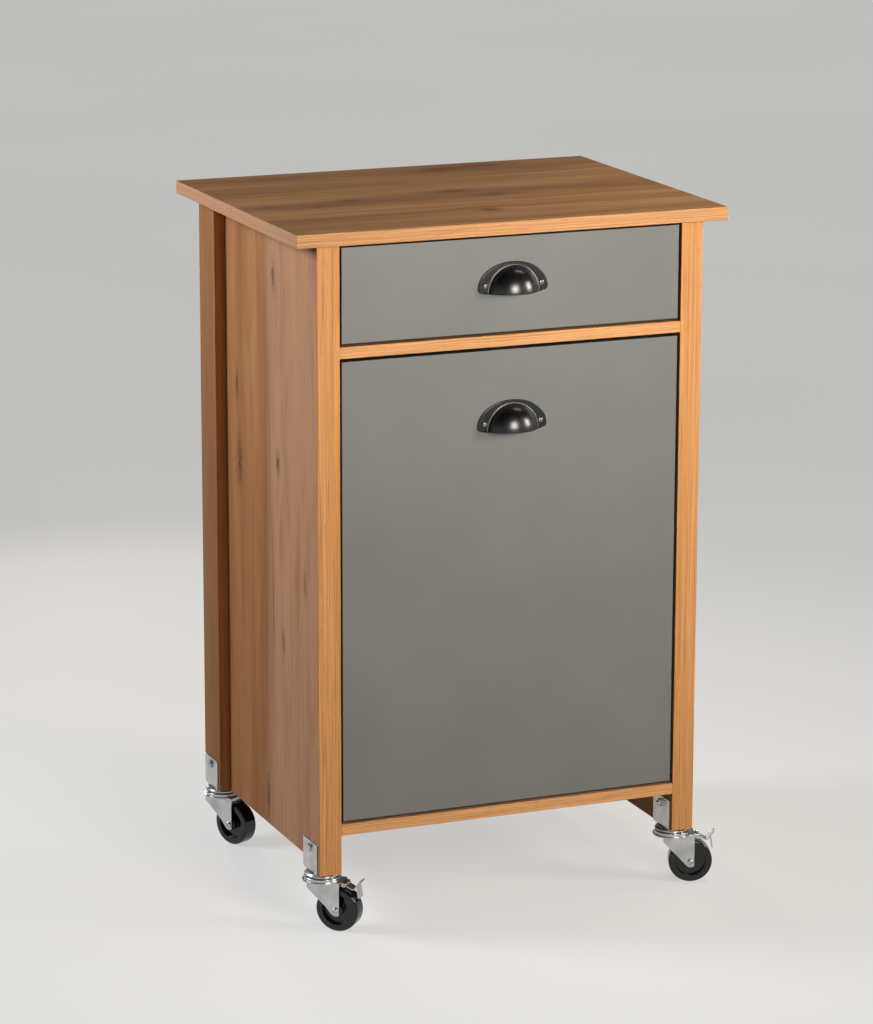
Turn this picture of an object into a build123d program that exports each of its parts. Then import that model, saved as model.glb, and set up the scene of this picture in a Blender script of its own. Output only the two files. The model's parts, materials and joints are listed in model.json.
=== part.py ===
from build123d import *

import os
from math import cos, radians, sin, sqrt

# Rolling kitchen trash cabinet, in millimetres.
# +Z is up, the front looks along -Y, and the origin lies on the floor under the middle of the cabinet.
os.makedirs("parts", exist_ok=True)

# Carcass boards
board = 15.0
top_thickness = 17.0
back_thickness = 3.0
body_width = 526.0
body_depth = 443.0
body_height = 813.0
side_overhang = 30.0
front_overhang = 10.5
post_width = 60.0
drawer_opening = 128.5
shelf_lift = 51.0
back_inset = 4.0
edge_radius = 1.0

# Inset fronts
front_gap = 3.0
head_gap = 4.0
front_recess = 2.0

# Joints between the boards
dowel_radius = 4.0
dowel_long_end = 20.0
dowel_short_end = 10.0
dowel_setback = 60.0
cam_radius = 7.5
cam_height = 12.0
cam_setback = 24.0
cam_bolt_radius = 3.0
seat_clearance = 0.05
end_clearance = 0.2

# Cup pulls
pull_width = 95.0
pull_rise = 33.0
pull_drop = 6.0
pull_corner = 5.0
flange_thickness = 2.0
cup_radius = 34.0
cup_depth = 25.0
cup_wall = 1.8
bead_width = 1.4
bead_height = 1.0
pull_screw_spacing = 76.0
pull_screw_rise = 4.0
pull_screw_radius = 1.9
pull_screw_depth = 11.0
pull_screw_head_radius = 3.6
pull_screw_head_height = 2.2
door_pull_drop = 94.0

# Drawer box and roller runners
drawer_board = 12.0
drawer_side_height = 90.0
drawer_length = 380.0
drawer_lift = 16.0
drawer_bottom_thickness = 3.0
drawer_bottom_rise = 10.0
groove_depth = 5.0
runner_gap = 12.5
runner_sheet = 1.2
runner_lift = 8.0
channel_height = 15.6
channel_lip = 9.3
runner_end_gap = 2.0
front_roller_radius = 5.7
rear_roller_radius = 7.2
roller_width = 6.5
roller_pin_radius = 2.5
roller_end_inset = 10.0
running_flange_width = 7.8
rolling_gap = 0.3
running_clearance = 0.05

# Tilt-out door, its pivots and its stop
tilt_limit = 35.0
pivot_lift = 10.0
pivot_pin_radius = 4.0
pivot_pin_in_door = 14.0
pivot_pin_in_side = 9.0
bush_wall = 2.0
bush_depth = 11.0
bush_flange = 1.5
bush_flange_radius = 8.0
stop_peg_radius = 5.0
stop_spigot_radius = 4.0
stop_spigot_depth = 10.0
stop_setback = 40.0
stop_overlap = 9.0
stop_gap = 0.5

# Bin carrier and bin
carrier_board = 12.0
carrier_side_gap = 15.0
carrier_depth = 318.0
carrier_height = 308.0
carrier_corner = 25.0
rail_height = 80.0
rail_lift = 85.0
angle_leg = 15.0
angle_height = 30.0
angle_sheet = 2.0
angle_lift_low = 35.0
angle_lift_high = 250.0
bin_height = 480.0
bin_side_gap = 6.0
bin_depth = 246.0
bin_draft = 17.0
bin_corner = 34.0
bin_wall = 2.5
bin_rim = 8.0
bin_rim_thickness = 3.0
bin_lip = 12.0
bin_gap = 4.0

# Magnetic catch
catch_width = 46.0
catch_depth = 14.0
catch_height = 14.0
catch_air_gap = 0.3
strike_width = 40.0
strike_height = 12.0
strike_thickness = 1.2
strike_drop = 2.0

# Casters
caster_height = 78.5
sheet = 2.0
bend_ease = 0.2
bracket_width = 48.0
bracket_height = 40.0
bracket_corner = 8.0
bolt_lift = 31.0
bolt_radius = 3.0
bolt_clearance = 0.2
bolt_head_radius = 5.5
bolt_head_height = 3.0
bolt_end = 3.0
nut_flats = 10.0
nut_height = 5.0
swivel_flange_radius = 23.5
swivel_flange_depth = 3.6
swivel_flange_bevel = 2.2
swivel_gap = 2.2
bearing_inner_radius = 10.0
bearing_outer_radius = 20.0
kingpin_radius = 5.0
kingpin_head_radius = 8.0
kingpin_head_height = 2.0
fork_cap_radius = 24.0
fork_cap_rise = 4.2
fork_plate_radius = 26.0
fork_reach = 29.0
fork_plate_corner = 3.0
leg_gap = 25.0
leg_crease = 9.5
flank_reach = 13.0
flank_depth = 8.0
caster_trail = 24.0
wheel_diameter = 58.0
wheel_width = 21.0
wheel_corner = 3.0
rim_depth = 9.0
web_width = 10.0
hub_radius = 8.5
hub_length = 24.0
axle_radius = 3.0
axle_eye_radius = 7.7
axle_head_radius = 4.4
axle_head_height = 2.6

# Foot brakes of the front casters
brake_pin_reach = 33.5
brake_pin_drop = 1.8
brake_pin_radius = 1.5
brake_barrel_radius = 2.5
brake_ear_radius = 2.9
brake_ear_gap = 15.0
brake_width = 14.4
brake_sheet = 1.6
brake_heel_reach = 12.2
brake_heel_drop = 5.7
brake_tip_reach = 22.0
brake_tip_rise = 7.0
brake_shoe_reach = 19.5
brake_shoe_drop = 16.2
brake_bend = 3.0

# Heading of each caster's trail, in degrees from +X towards +Y
front_left_heading = -44.0
front_right_heading = -21.0
rear_left_heading = -64.0
rear_right_heading = -52.0

# Widths and depths that follow from the sizes above
half_width = body_width / 2
panel_outer = half_width - board
cavity_half = half_width - 2 * board
panel_middle = panel_outer - board / 2
post_middle = half_width - board
front_half = cavity_half - front_gap
pull_reach = cup_depth - front_recess
front_y = (pull_reach - body_depth - back_thickness) / 2
rear_y = front_y + body_depth
middle_y = (front_y + rear_y) / 2
front_face = front_y + front_recess
front_back = front_face + board
dowel_rows = (front_y + dowel_setback, rear_y - dowel_setback)
pull_screw_columns = (-pull_screw_spacing / 2, pull_screw_spacing / 2)

# Heights that follow from the sizes above
foot_z = caster_height
top_under = foot_z + body_height
divider_top = top_under - drawer_opening
divider_under = divider_top - board
floor_under = foot_z + shelf_lift
floor_top = floor_under + board
drawer_front_span = (divider_top + front_gap, top_under - head_gap)
door_span = (floor_top + front_gap, divider_under - head_gap)
drawer_pull_z = sum(drawer_front_span) / 2 - pull_screw_rise
door_pull_z = door_span[1] - door_pull_drop - pull_screw_rise

# Door pivot
pivot_y = front_face + board / 2
pivot_z = door_span[0] + pivot_lift
bush_radius = pivot_pin_radius + running_clearance + bush_wall

# Bin carrier
carrier_outer_half = cavity_half - carrier_side_gap
carrier_inner_half = carrier_outer_half - carrier_board
carrier_rear = front_back + carrier_depth
carrier_foot = door_span[0]
carrier_top = carrier_foot + carrier_height
carrier_floor_top = carrier_foot + carrier_board

# Stop pegs: the place that the carrier's top edge reaches at the tilt limit
stop_arm = carrier_rear - stop_setback - pivot_y
stop_lever = carrier_top + stop_peg_radius + stop_gap - pivot_z
tilt = radians(tilt_limit)
stop_y = pivot_y + stop_arm * cos(tilt) - stop_lever * sin(tilt)
stop_z = pivot_z + stop_arm * sin(tilt) + stop_lever * cos(tilt)

# Caster levels
flange_bottom = foot_z - sheet - swivel_flange_depth
cap_top = flange_bottom - swivel_gap
plate_top = cap_top - fork_cap_rise
plate_bottom = plate_top - sheet
wheel_radius = wheel_diameter / 2
leg_inner = leg_gap / 2
leg_outer = leg_inner + sheet
brake_pin_z = plate_bottom - brake_pin_drop
caster_spots = {
    "front_left": (-post_middle, front_y + post_width / 2, front_left_heading),
    "front_right": (post_middle, front_y + post_width / 2, front_right_heading),
    "rear_left": (-post_middle, rear_y - post_width / 2, rear_left_heading),
    "rear_right": (post_middle, rear_y - post_width / 2, rear_right_heading),
}
sides = {"left": -1, "right": 1}


def save(builder, name):
    """Label a finished piece and write it to its own file."""
    builder.part.label = name
    export_step(builder.part, f"parts/{name}.step")


def slab(x_span, y_span, z_span, mode=Mode.ADD):
    """Add or cut a box between three pairs of coordinates."""
    spans = (x_span, y_span, z_span)
    with Locations(tuple(sum(span) / 2 for span in spans)):
        Box(*(abs(span[1] - span[0]) for span in spans), mode=mode)


def rod(start, end, radius, mode=Mode.ADD):
    """Add or cut a round rod from one point to another."""
    run = Vector(*end) - Vector(*start)
    with Locations(Plane(origin=start, z_dir=run)):
        Cylinder(radius, run.length, align=(Align.CENTER, Align.CENTER, Align.MIN), mode=mode)


def side_faces(side, inner, outer):
    """Span across X between two distances from the middle, on one side."""
    return (side * inner, side * outer)


def dowel_axes():
    """Every dowel as its seat on the joint plane and the direction of its long end."""
    for side in sides.values():
        for y in dowel_rows:
            for z in (floor_under + board / 2, divider_under + board / 2):
                yield (side * cavity_half, y, z), (-side, 0, 0)
            yield (side * panel_middle, y, top_under), (0, 0, -1)


def dowel_rods(radius, spare, mode=Mode.ADD):
    """Add every dowel, or cut its holes with some spare depth at both ends."""
    for seat, inward in dowel_axes():
        start = Vector(*seat) - Vector(*inward) * (dowel_short_end + spare)
        end = Vector(*seat) + Vector(*inward) * (dowel_long_end + spare)
        rod(start, end, radius, mode)


def cam_axes():
    """Every cam as its bolt's seat on the joint plane, the bolt's direction and the cam's mouth and axis."""
    for side in sides.values():
        for under in (floor_under, divider_under):
            mouth = (side * (cavity_half - cam_setback), middle_y, under)
            yield (side * cavity_half, middle_y, under + board / 2), (-side, 0, 0), mouth, (0, 0, 1)
        mouth = (side * cavity_half, middle_y, top_under - cam_setback)
        yield (side * panel_middle, middle_y, top_under), (0, 0, -1), mouth, (side, 0, 0)


def cam_rods(spare_radius, spare_depth, mode=Mode.ADD):
    """Add every cam and its bolt, or cut their seats with some spare room."""
    for seat, inward, mouth, into in cam_axes():
        bolt_start = Vector(*seat) - Vector(*inward) * (dowel_short_end + spare_depth)
        bolt_end_at = cam_setback - cam_radius - end_clearance
        rod(bolt_start, (Vector(*seat) + Vector(*inward) * bolt_end_at),
            cam_bolt_radius + spare_radius, mode)
        cam_end = Vector(*mouth) + Vector(*into) * (cam_height + spare_depth)
        rod(mouth, cam_end, cam_radius + spare_radius, mode)


def joint_holes():
    """Cut the dowel and cam seats that fall in the board being made."""
    dowel_rods(dowel_radius + seat_clearance, end_clearance, Mode.SUBTRACT)
    cam_rods(seat_clearance, end_clearance, Mode.SUBTRACT)


def bolt_axes():
    """Every caster bolt's side of the cabinet and its depth and height."""
    for x, y, heading in caster_spots.values():
        yield (1 if x > 0 else -1), y, foot_z + bolt_lift


def bolt_holes():
    """Cut the caster bolt holes that fall in the board being made."""
    for side, y, z in bolt_axes():
        ends = side_faces(side, cavity_half - sheet, half_width + sheet)
        rod((ends[0], y, z), (ends[1], y, z), bolt_radius + bolt_clearance, Mode.SUBTRACT)


# Top panel
with BuildPart() as top_panel:
    slab(
        (-half_width - side_overhang, half_width + side_overhang),
        (front_y - front_overhang, rear_y + back_thickness),
        (top_under, top_under + top_thickness),
    )
    fillet(top_panel.edges(), edge_radius)
    joint_holes()
save(top_panel, "top_panel")

# Side panels and the posts that stand proud of them
for side_name, side in sides.items():
    with BuildPart() as side_panel:
        slab(side_faces(side, cavity_half, panel_outer), (front_y, rear_y), (foot_z, top_under))
        inner_face = side_panel.faces().filter_by(Axis.X).sort_by(Axis.X)[-1 if side < 0 else 0]
        fillet(inner_face.edges().sort_by(Axis.Z)[0], edge_radius)
        joint_holes()
        bolt_holes()
        seat = side * cavity_half
        rod((seat, pivot_y, pivot_z), (seat + side * bush_depth, pivot_y, pivot_z),
            bush_radius + seat_clearance, Mode.SUBTRACT)
        rod((seat, stop_y, stop_z), (seat + side * (stop_spigot_depth + end_clearance), stop_y, stop_z),
            stop_spigot_radius + seat_clearance, Mode.SUBTRACT)
    save(side_panel, f"{side_name}_side_panel")
    post_spans = {"front": (front_y, front_y + post_width), "rear": (rear_y - post_width, rear_y)}
    for end_name, post_span in post_spans.items():
        with BuildPart() as post:
            slab(side_faces(side, panel_outer, half_width), post_span, (foot_z, top_under))
            outer_face = post.faces().filter_by(Axis.X).sort_by(Axis.X)[0 if side < 0 else -1]
            fillet(outer_face.edges().sort_by(Axis.Z)[:3], edge_radius)
            bolt_holes()
        save(post, f"{end_name}_{side_name}_post")

# Shelves: their front edges show as the middle and bottom rails
for shelf_name, shelf_under in (("divider_shelf", divider_under), ("bottom_shelf", floor_under)):
    with BuildPart() as shelf:
        slab((-cavity_half, cavity_half), (front_y, rear_y), (shelf_under, shelf_under + board))
        shelf_front = shelf.faces().sort_by(Axis.Y)[0]
        fillet(shelf_front.edges().filter_by(Axis.X), edge_radius)
        joint_holes()
    save(shelf, shelf_name)

with BuildPart() as back_panel:
    slab(
        (-half_width + back_inset, half_width - back_inset),
        (rear_y, rear_y + back_thickness),
        (floor_under, top_under),
    )
save(back_panel, "back_panel")

with BuildPart() as carcass_dowels:
    dowel_rods(dowel_radius, 0)
save(carcass_dowels, "carcass_dowels")

with BuildPart() as cam_fittings:
    cam_rods(0, 0)
save(cam_fittings, "cam_fittings")

# Drawer box
drawer_half = cavity_half - runner_gap
drawer_inner_half = drawer_half - drawer_board
drawer_rear = front_back + drawer_length
drawer_foot = divider_top + drawer_lift
drawer_bottom_z = drawer_foot + drawer_bottom_rise
drawer_bottom_span = (drawer_bottom_z, drawer_bottom_z + drawer_bottom_thickness)
drawer_bottom_half = drawer_inner_half + groove_depth
drawer_bottom_front = front_back - groove_depth


def bottom_groove():
    """Cut the groove that takes the drawer's bottom board."""
    spare = end_clearance
    slab(
        (-drawer_bottom_half - spare, drawer_bottom_half + spare),
        (drawer_bottom_front - spare, drawer_rear),
        drawer_bottom_span,
        Mode.SUBTRACT,
    )


def pull_screw_places(pull_z):
    """The two screw points of a pull on the front's face."""
    return [(x, front_face, pull_z + pull_screw_rise) for x in pull_screw_columns]


def front_board(z_span, pull_z):
    """Add an inset front with softened front edges and the pilot holes of its pull."""
    slab((-front_half, front_half), (front_face, front_back), z_span)
    for x, y, z in pull_screw_places(pull_z):
        rod((x, y, z), (x, y + pull_screw_depth + end_clearance, z),
            pull_screw_radius + seat_clearance, Mode.SUBTRACT)


with BuildPart() as drawer_front:
    front_board(drawer_front_span, drawer_pull_z)
    fillet(drawer_front.faces().sort_by(Axis.Y)[0].outer_wire().edges(), edge_radius)
    bottom_groove()
save(drawer_front, "drawer_front")

for side_name, side in sides.items():
    with BuildPart() as drawer_side:
        slab(
            side_faces(side, drawer_inner_half, drawer_half),
            (front_back, drawer_rear),
            (drawer_foot, drawer_foot + drawer_side_height),
        )
        bottom_groove()
    save(drawer_side, f"drawer_{side_name}_side")

with BuildPart() as drawer_back:
    slab(
        (-drawer_inner_half, drawer_inner_half),
        (drawer_rear - drawer_board, drawer_rear),
        (drawer_bottom_span[1], drawer_foot + drawer_side_height),
    )
save(drawer_back, "drawer_back")

with BuildPart() as drawer_bottom:
    slab((-drawer_bottom_half, drawer_bottom_half), (drawer_bottom_front, drawer_rear), drawer_bottom_span)
save(drawer_bottom, "drawer_bottom")

# Roller runners: the cabinet's channel carries the front roller, the drawer's rail carries the rear one
channel_floor = divider_top + runner_lift + runner_sheet
channel_roof = channel_floor + channel_height
channel_mouth = cavity_half - runner_sheet - channel_lip
channel_back = cavity_half - runner_sheet
channel_front_y = front_back + runner_end_gap
channel_span = (channel_front_y, channel_front_y + drawer_length)
front_roller_y = channel_front_y + roller_end_inset
front_roller_z = channel_floor + rolling_gap + front_roller_radius
rear_roller_y = drawer_rear - roller_end_inset
rear_roller_z = channel_floor + rolling_gap + rear_roller_radius
flange_under = front_roller_z + front_roller_radius + rolling_gap
rail_back = drawer_half + runner_sheet
roller_middle = (channel_back + rail_back) / 2
roller_faces = (roller_middle - roller_width / 2, roller_middle + roller_width / 2)

for side_name, side in sides.items():
    with BuildPart() as cabinet_runner:
        slab(side_faces(side, channel_back, cavity_half), channel_span,
             (channel_floor - runner_sheet, channel_roof + runner_sheet))
        slab(side_faces(side, channel_mouth, channel_back), channel_span,
             (channel_floor - runner_sheet, channel_floor))
        slab(side_faces(side, channel_mouth, channel_back), channel_span,
             (channel_roof, channel_roof + runner_sheet))
        rod((side * channel_back, front_roller_y, front_roller_z),
            (side * roller_faces[0], front_roller_y, front_roller_z), roller_pin_radius)
    save(cabinet_runner, f"{side_name}_cabinet_runner")
    with BuildPart() as drawer_runner:
        rail_span = (front_back + runner_end_gap, drawer_rear)
        slab(side_faces(side, drawer_half, rail_back), rail_span,
             (channel_floor + runner_sheet, drawer_foot + channel_height))
        slab(side_faces(side, drawer_inner_half, drawer_half), rail_span,
             (drawer_foot - runner_sheet, drawer_foot))
        flange_end = rear_roller_y - rear_roller_radius - runner_end_gap
        slab(side_faces(side, rail_back, rail_back + running_flange_width), (rail_span[0], flange_end),
             (flange_under, flange_under + runner_sheet))
        rod((side * rail_back, rear_roller_y, rear_roller_z),
            (side * roller_faces[1], rear_roller_y, rear_roller_z), roller_pin_radius)
    save(drawer_runner, f"{side_name}_drawer_runner")

rollers = {
    "runner_front_rollers": (front_roller_y, front_roller_z, front_roller_radius),
    "runner_rear_rollers": (rear_roller_y, rear_roller_z, rear_roller_radius),
}
for roller_name, (y, z, radius) in rollers.items():
    with BuildPart() as roller_pair:
        for side in sides.values():
            rod((side * roller_faces[0], y, z), (side * roller_faces[1], y, z), radius)
            rod((side * roller_faces[0], y, z), (side * roller_faces[1], y, z),
                roller_pin_radius + running_clearance, Mode.SUBTRACT)
    save(roller_pair, roller_name)

# Tilt-out door
with BuildPart() as door_panel:
    front_board(door_span, door_pull_z)
    fillet(door_panel.faces().sort_by(Axis.Y)[0].outer_wire().edges(), edge_radius)
    for side in sides.values():
        rod((side * front_half, pivot_y, pivot_z),
            (side * (front_half - pivot_pin_in_door - end_clearance), pivot_y, pivot_z),
            pivot_pin_radius + seat_clearance, Mode.SUBTRACT)
save(door_panel, "door_panel")

with BuildPart() as pivot_pins:
    for side in sides.values():
        rod((side * (front_half - pivot_pin_in_door), pivot_y, pivot_z),
            (side * (cavity_half + pivot_pin_in_side), pivot_y, pivot_z), pivot_pin_radius)
save(pivot_pins, "pivot_pins")

with BuildPart() as pivot_bushes:
    for side in sides.values():
        mouth = side * (cavity_half - bush_flange)
        rod((mouth, pivot_y, pivot_z), (side * cavity_half, pivot_y, pivot_z), bush_flange_radius)
        rod((side * cavity_half, pivot_y, pivot_z),
            (side * (cavity_half + bush_depth), pivot_y, pivot_z), bush_radius)
        rod((mouth, pivot_y, pivot_z), (side * (cavity_half + bush_depth), pivot_y, pivot_z),
            pivot_pin_radius + running_clearance, Mode.SUBTRACT)
save(pivot_bushes, "pivot_bushes")

with BuildPart() as tilt_stop_pegs:
    for side in sides.values():
        rod((side * (carrier_outer_half - stop_overlap), stop_y, stop_z),
            (side * cavity_half, stop_y, stop_z), stop_peg_radius)
        rod((side * cavity_half, stop_y, stop_z),
            (side * (cavity_half + stop_spigot_depth), stop_y, stop_z), stop_spigot_radius)
save(tilt_stop_pegs, "tilt_stop_pegs")

# Cup pulls and their screws
for front_name, pull_z in (("drawer", drawer_pull_z), ("door", door_pull_z)):
    pull_plane = Plane(origin=(0, front_face, pull_z), x_dir=(1, 0, 0), z_dir=(0, -1, 0))
    cup_foot = (0, front_face, pull_z - pull_drop)
    cup_plane = Plane(origin=cup_foot, x_dir=(1, 0, 0), z_dir=(0, 0, -1))
    with BuildPart() as pull:
        with BuildSketch(pull_plane) as flange_outline:
            Ellipse(pull_width / 2, pull_rise)
            with Locations((0, -pull_drop)):
                Rectangle(
                    pull_width, pull_drop + pull_rise, align=(Align.CENTER, Align.MIN), mode=Mode.INTERSECT
                )
            with Locations((0, -pull_drop)):
                Rectangle(pull_width, pull_drop, align=(Align.CENTER, Align.MIN))
            fillet(flange_outline.vertices().group_by(Axis.Y)[0], pull_corner)
            with Locations((0, -pull_drop)):
                Circle(cup_radius - cup_wall, mode=Mode.SUBTRACT)
            with Locations(*((x, pull_screw_rise) for x in pull_screw_columns)):
                Circle(pull_screw_radius + seat_clearance, mode=Mode.SUBTRACT)
        extrude(amount=flange_thickness)
        with BuildSketch(cup_plane):
            Ellipse(cup_radius, cup_depth)
            with Locations((0, flange_thickness)):
                Rectangle(cup_radius + bead_width, bead_height, align=(Align.MIN, Align.MIN))
            Ellipse(cup_radius - cup_wall, cup_depth - cup_wall, mode=Mode.SUBTRACT)
            Rectangle(2 * cup_radius, cup_depth, align=(Align.MIN, Align.MIN), mode=Mode.INTERSECT)
        revolve(axis=Axis(cup_foot, (0, 1, 0)), revolution_arc=-180)
    save(pull, f"{front_name}_pull")
    with BuildPart() as pull_screws:
        for x, y, z in pull_screw_places(pull_z):
            head_seat = y - flange_thickness
            rod((x, head_seat, z), (x, y + pull_screw_depth, z), pull_screw_radius)
            with Locations(Plane(origin=(x, head_seat, z), z_dir=(0, -1, 0))):
                Cylinder(
                    pull_screw_head_radius,
                    pull_screw_head_height,
                    align=(Align.CENTER, Align.CENTER, Align.MIN),
                )
        head_rims = pull_screws.faces().sort_by(Axis.Y)[:2].edges()
        fillet(head_rims, pull_screw_head_height - 2 * end_clearance)
    save(pull_screws, f"{front_name}_pull_screws")

# Bin carrier on the back of the door
for side_name, side in sides.items():
    with BuildPart() as carrier_side:
        slab(
            side_faces(side, carrier_inner_half, carrier_outer_half),
            (front_back, carrier_rear),
            (carrier_foot, carrier_top),
        )
        upright_ends = carrier_side.edges().filter_by(Axis.X).group_by(Axis.Z)[-1]
        fillet(upright_ends, carrier_corner)
    save(carrier_side, f"bin_carrier_{side_name}")

with BuildPart() as carrier_floor:
    slab(
        (-carrier_inner_half, carrier_inner_half),
        (front_back, carrier_rear),
        (carrier_foot, carrier_floor_top),
    )
save(carrier_floor, "bin_carrier_floor")

with BuildPart() as carrier_rail:
    rail_z = carrier_foot + rail_lift
    slab(
        (-carrier_inner_half, carrier_inner_half),
        (carrier_rear - carrier_board, carrier_rear),
        (rail_z, rail_z + rail_height),
    )
save(carrier_rail, "bin_carrier_rail")

with BuildPart() as carrier_brackets:
    for side in sides.values():
        for lift in (angle_lift_low, angle_lift_high):
            z_span = (carrier_foot + lift, carrier_foot + lift + angle_height)
            slab(side_faces(side, carrier_inner_half - angle_leg, carrier_inner_half),
                 (front_back, front_back + angle_sheet), z_span)
            slab(side_faces(side, carrier_inner_half - angle_sheet, carrier_inner_half),
                 (front_back, front_back + angle_leg), z_span)
save(carrier_brackets, "carrier_brackets")

# Lift-out waste bin: tapered walls, a rolled rim and an open top
bin_middle_y = front_back + bin_gap + bin_rim + bin_depth / 2
bin_width = 2 * (carrier_inner_half - bin_side_gap - bin_rim)
bin_foot = carrier_floor_top
bin_top = bin_foot + bin_height
foot_plane = Plane((0, bin_middle_y, bin_foot))
well_plane = Plane((0, bin_middle_y, bin_foot + bin_wall))
mouth_plane = Plane((0, bin_middle_y, bin_top))
rim_plane = Plane((0, bin_middle_y, bin_top - bin_rim_thickness))
lip_plane = Plane((0, bin_middle_y, bin_top - bin_lip))
with BuildPart() as waste_bin:
    with BuildSketch(foot_plane):
        RectangleRounded(bin_width - 2 * bin_draft, bin_depth - 2 * bin_draft, bin_corner - bin_draft / 2)
    with BuildSketch(mouth_plane):
        RectangleRounded(bin_width, bin_depth, bin_corner)
    loft()
    with BuildSketch(rim_plane):
        RectangleRounded(bin_width + 2 * bin_rim, bin_depth + 2 * bin_rim, bin_corner + bin_rim)
    extrude(amount=bin_rim_thickness)
    with BuildSketch(lip_plane):
        RectangleRounded(bin_width + 2 * bin_rim, bin_depth + 2 * bin_rim, bin_corner + bin_rim)
        lip_inset = bin_rim - bin_wall
        RectangleRounded(
            bin_width + 2 * lip_inset, bin_depth + 2 * lip_inset, bin_corner + lip_inset, mode=Mode.SUBTRACT
        )
    extrude(amount=bin_lip)
    with BuildSketch(well_plane):
        well_inset = bin_draft + bin_wall
        well_corner = bin_corner - bin_draft / 2 - bin_wall
        RectangleRounded(bin_width - 2 * well_inset, bin_depth - 2 * well_inset, well_corner)
    with BuildSketch(mouth_plane):
        RectangleRounded(bin_width - 2 * bin_wall, bin_depth - 2 * bin_wall, bin_corner - bin_wall)
    loft(mode=Mode.SUBTRACT)
save(waste_bin, "waste_bin")

# Magnetic catch under the divider and its strike plate on the door
strike_back = front_back + strike_thickness
with BuildPart() as magnetic_catch:
    slab(
        (-catch_width / 2, catch_width / 2),
        (strike_back + catch_air_gap, strike_back + catch_air_gap + catch_depth),
        (divider_under - catch_height, divider_under),
    )
    fillet(magnetic_catch.edges().filter_by(Axis.Z), edge_radius)
save(magnetic_catch, "magnetic_catch")

with BuildPart() as strike_plate:
    strike_top = door_span[1] - strike_drop
    slab(
        (-strike_width / 2, strike_width / 2),
        (front_back, strike_back),
        (strike_top - strike_height, strike_top),
    )
    fillet(strike_plate.edges().filter_by(Axis.Y), edge_radius)
save(strike_plate, "strike_plate")

# Caster brackets: a bent sheet around the post's end with the swivel's round flange under it
bracket_half = board + sheet / 2
bend_radius = edge_radius - bend_ease + sheet / 2
for spot_name, (x, y, heading) in caster_spots.items():
    with BuildPart() as bracket:
        with BuildSketch(Plane((x, y, foot_z), x_dir=(1, 0, 0), z_dir=(0, -1, 0))):
            with BuildLine():
                FilletPolyline(
                    (-bracket_half, bracket_height),
                    (-bracket_half, -sheet / 2),
                    (bracket_half, -sheet / 2),
                    (bracket_half, bracket_height),
                    radius=bend_radius,
                )
            trace(line_width=sheet)
        extrude(amount=bracket_width / 2, both=True)
        with BuildSketch(Plane((x, y, foot_z - sheet), x_dir=(0, 1, 0), z_dir=(1, 0, 0))) as plate_outline:
            Rectangle(bracket_width, bracket_height + sheet, align=(Align.CENTER, Align.MIN))
            fillet(plate_outline.vertices().group_by(Axis.Y)[0], bracket_corner)
        extrude(amount=2 * board, both=True, mode=Mode.INTERSECT)
        with Locations((x, y, flange_bottom)):
            Cylinder(
                swivel_flange_radius,
                swivel_flange_depth - swivel_flange_bevel,
                align=(Align.CENTER, Align.CENTER, Align.MIN),
            )
        with Locations((x, y, foot_z - sheet)):
            Cone(
                swivel_flange_radius,
                swivel_flange_radius - swivel_flange_bevel,
                swivel_flange_bevel,
                align=(Align.CENTER, Align.CENTER, Align.MAX),
            )
        rod((x, y, foot_z), (x, y, flange_bottom), kingpin_radius + seat_clearance, Mode.SUBTRACT)
        rod((x, y, foot_z), (x, y, foot_z - kingpin_head_height),
            kingpin_head_radius + seat_clearance, Mode.SUBTRACT)
        bolt_holes()
    save(bracket, f"{spot_name}_bracket")

with BuildPart() as caster_bolts:
    for side, y, z in bolt_axes():
        head_seat = side * (half_width + sheet)
        nut_seat = side * (cavity_half - sheet)
        bolt_tip = nut_seat - side * (nut_height + bolt_end)
        rod((head_seat, y, z), (bolt_tip, y, z), bolt_radius)
        rod((head_seat, y, z), (head_seat + side * bolt_head_height, y, z), bolt_head_radius)
        with BuildSketch(Plane((nut_seat, y, z), x_dir=(0, 1, 0), z_dir=(-side, 0, 0))):
            RegularPolygon(nut_flats / 2, 6, major_radius=False)
        extrude(amount=nut_height)
save(caster_bolts, "caster_bolts")

with BuildPart() as swivel_kingpins:
    for x, y, heading in caster_spots.values():
        cap_under = cap_top - sheet - rolling_gap
        rod((x, y, foot_z), (x, y, foot_z - kingpin_head_height), kingpin_head_radius)
        rod((x, y, foot_z), (x, y, cap_under), kingpin_radius)
        rod((x, y, cap_under), (x, y, cap_under - kingpin_head_height), kingpin_head_radius)
save(swivel_kingpins, "swivel_kingpins")

with BuildPart() as swivel_bearings:
    for x, y, heading in caster_spots.values():
        race_bottom = cap_top + rolling_gap
        rod((x, y, flange_bottom), (x, y, race_bottom), bearing_outer_radius)
        rod((x, y, flange_bottom), (x, y, race_bottom), bearing_inner_radius, Mode.SUBTRACT)
save(swivel_bearings, "swivel_bearings")

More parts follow.
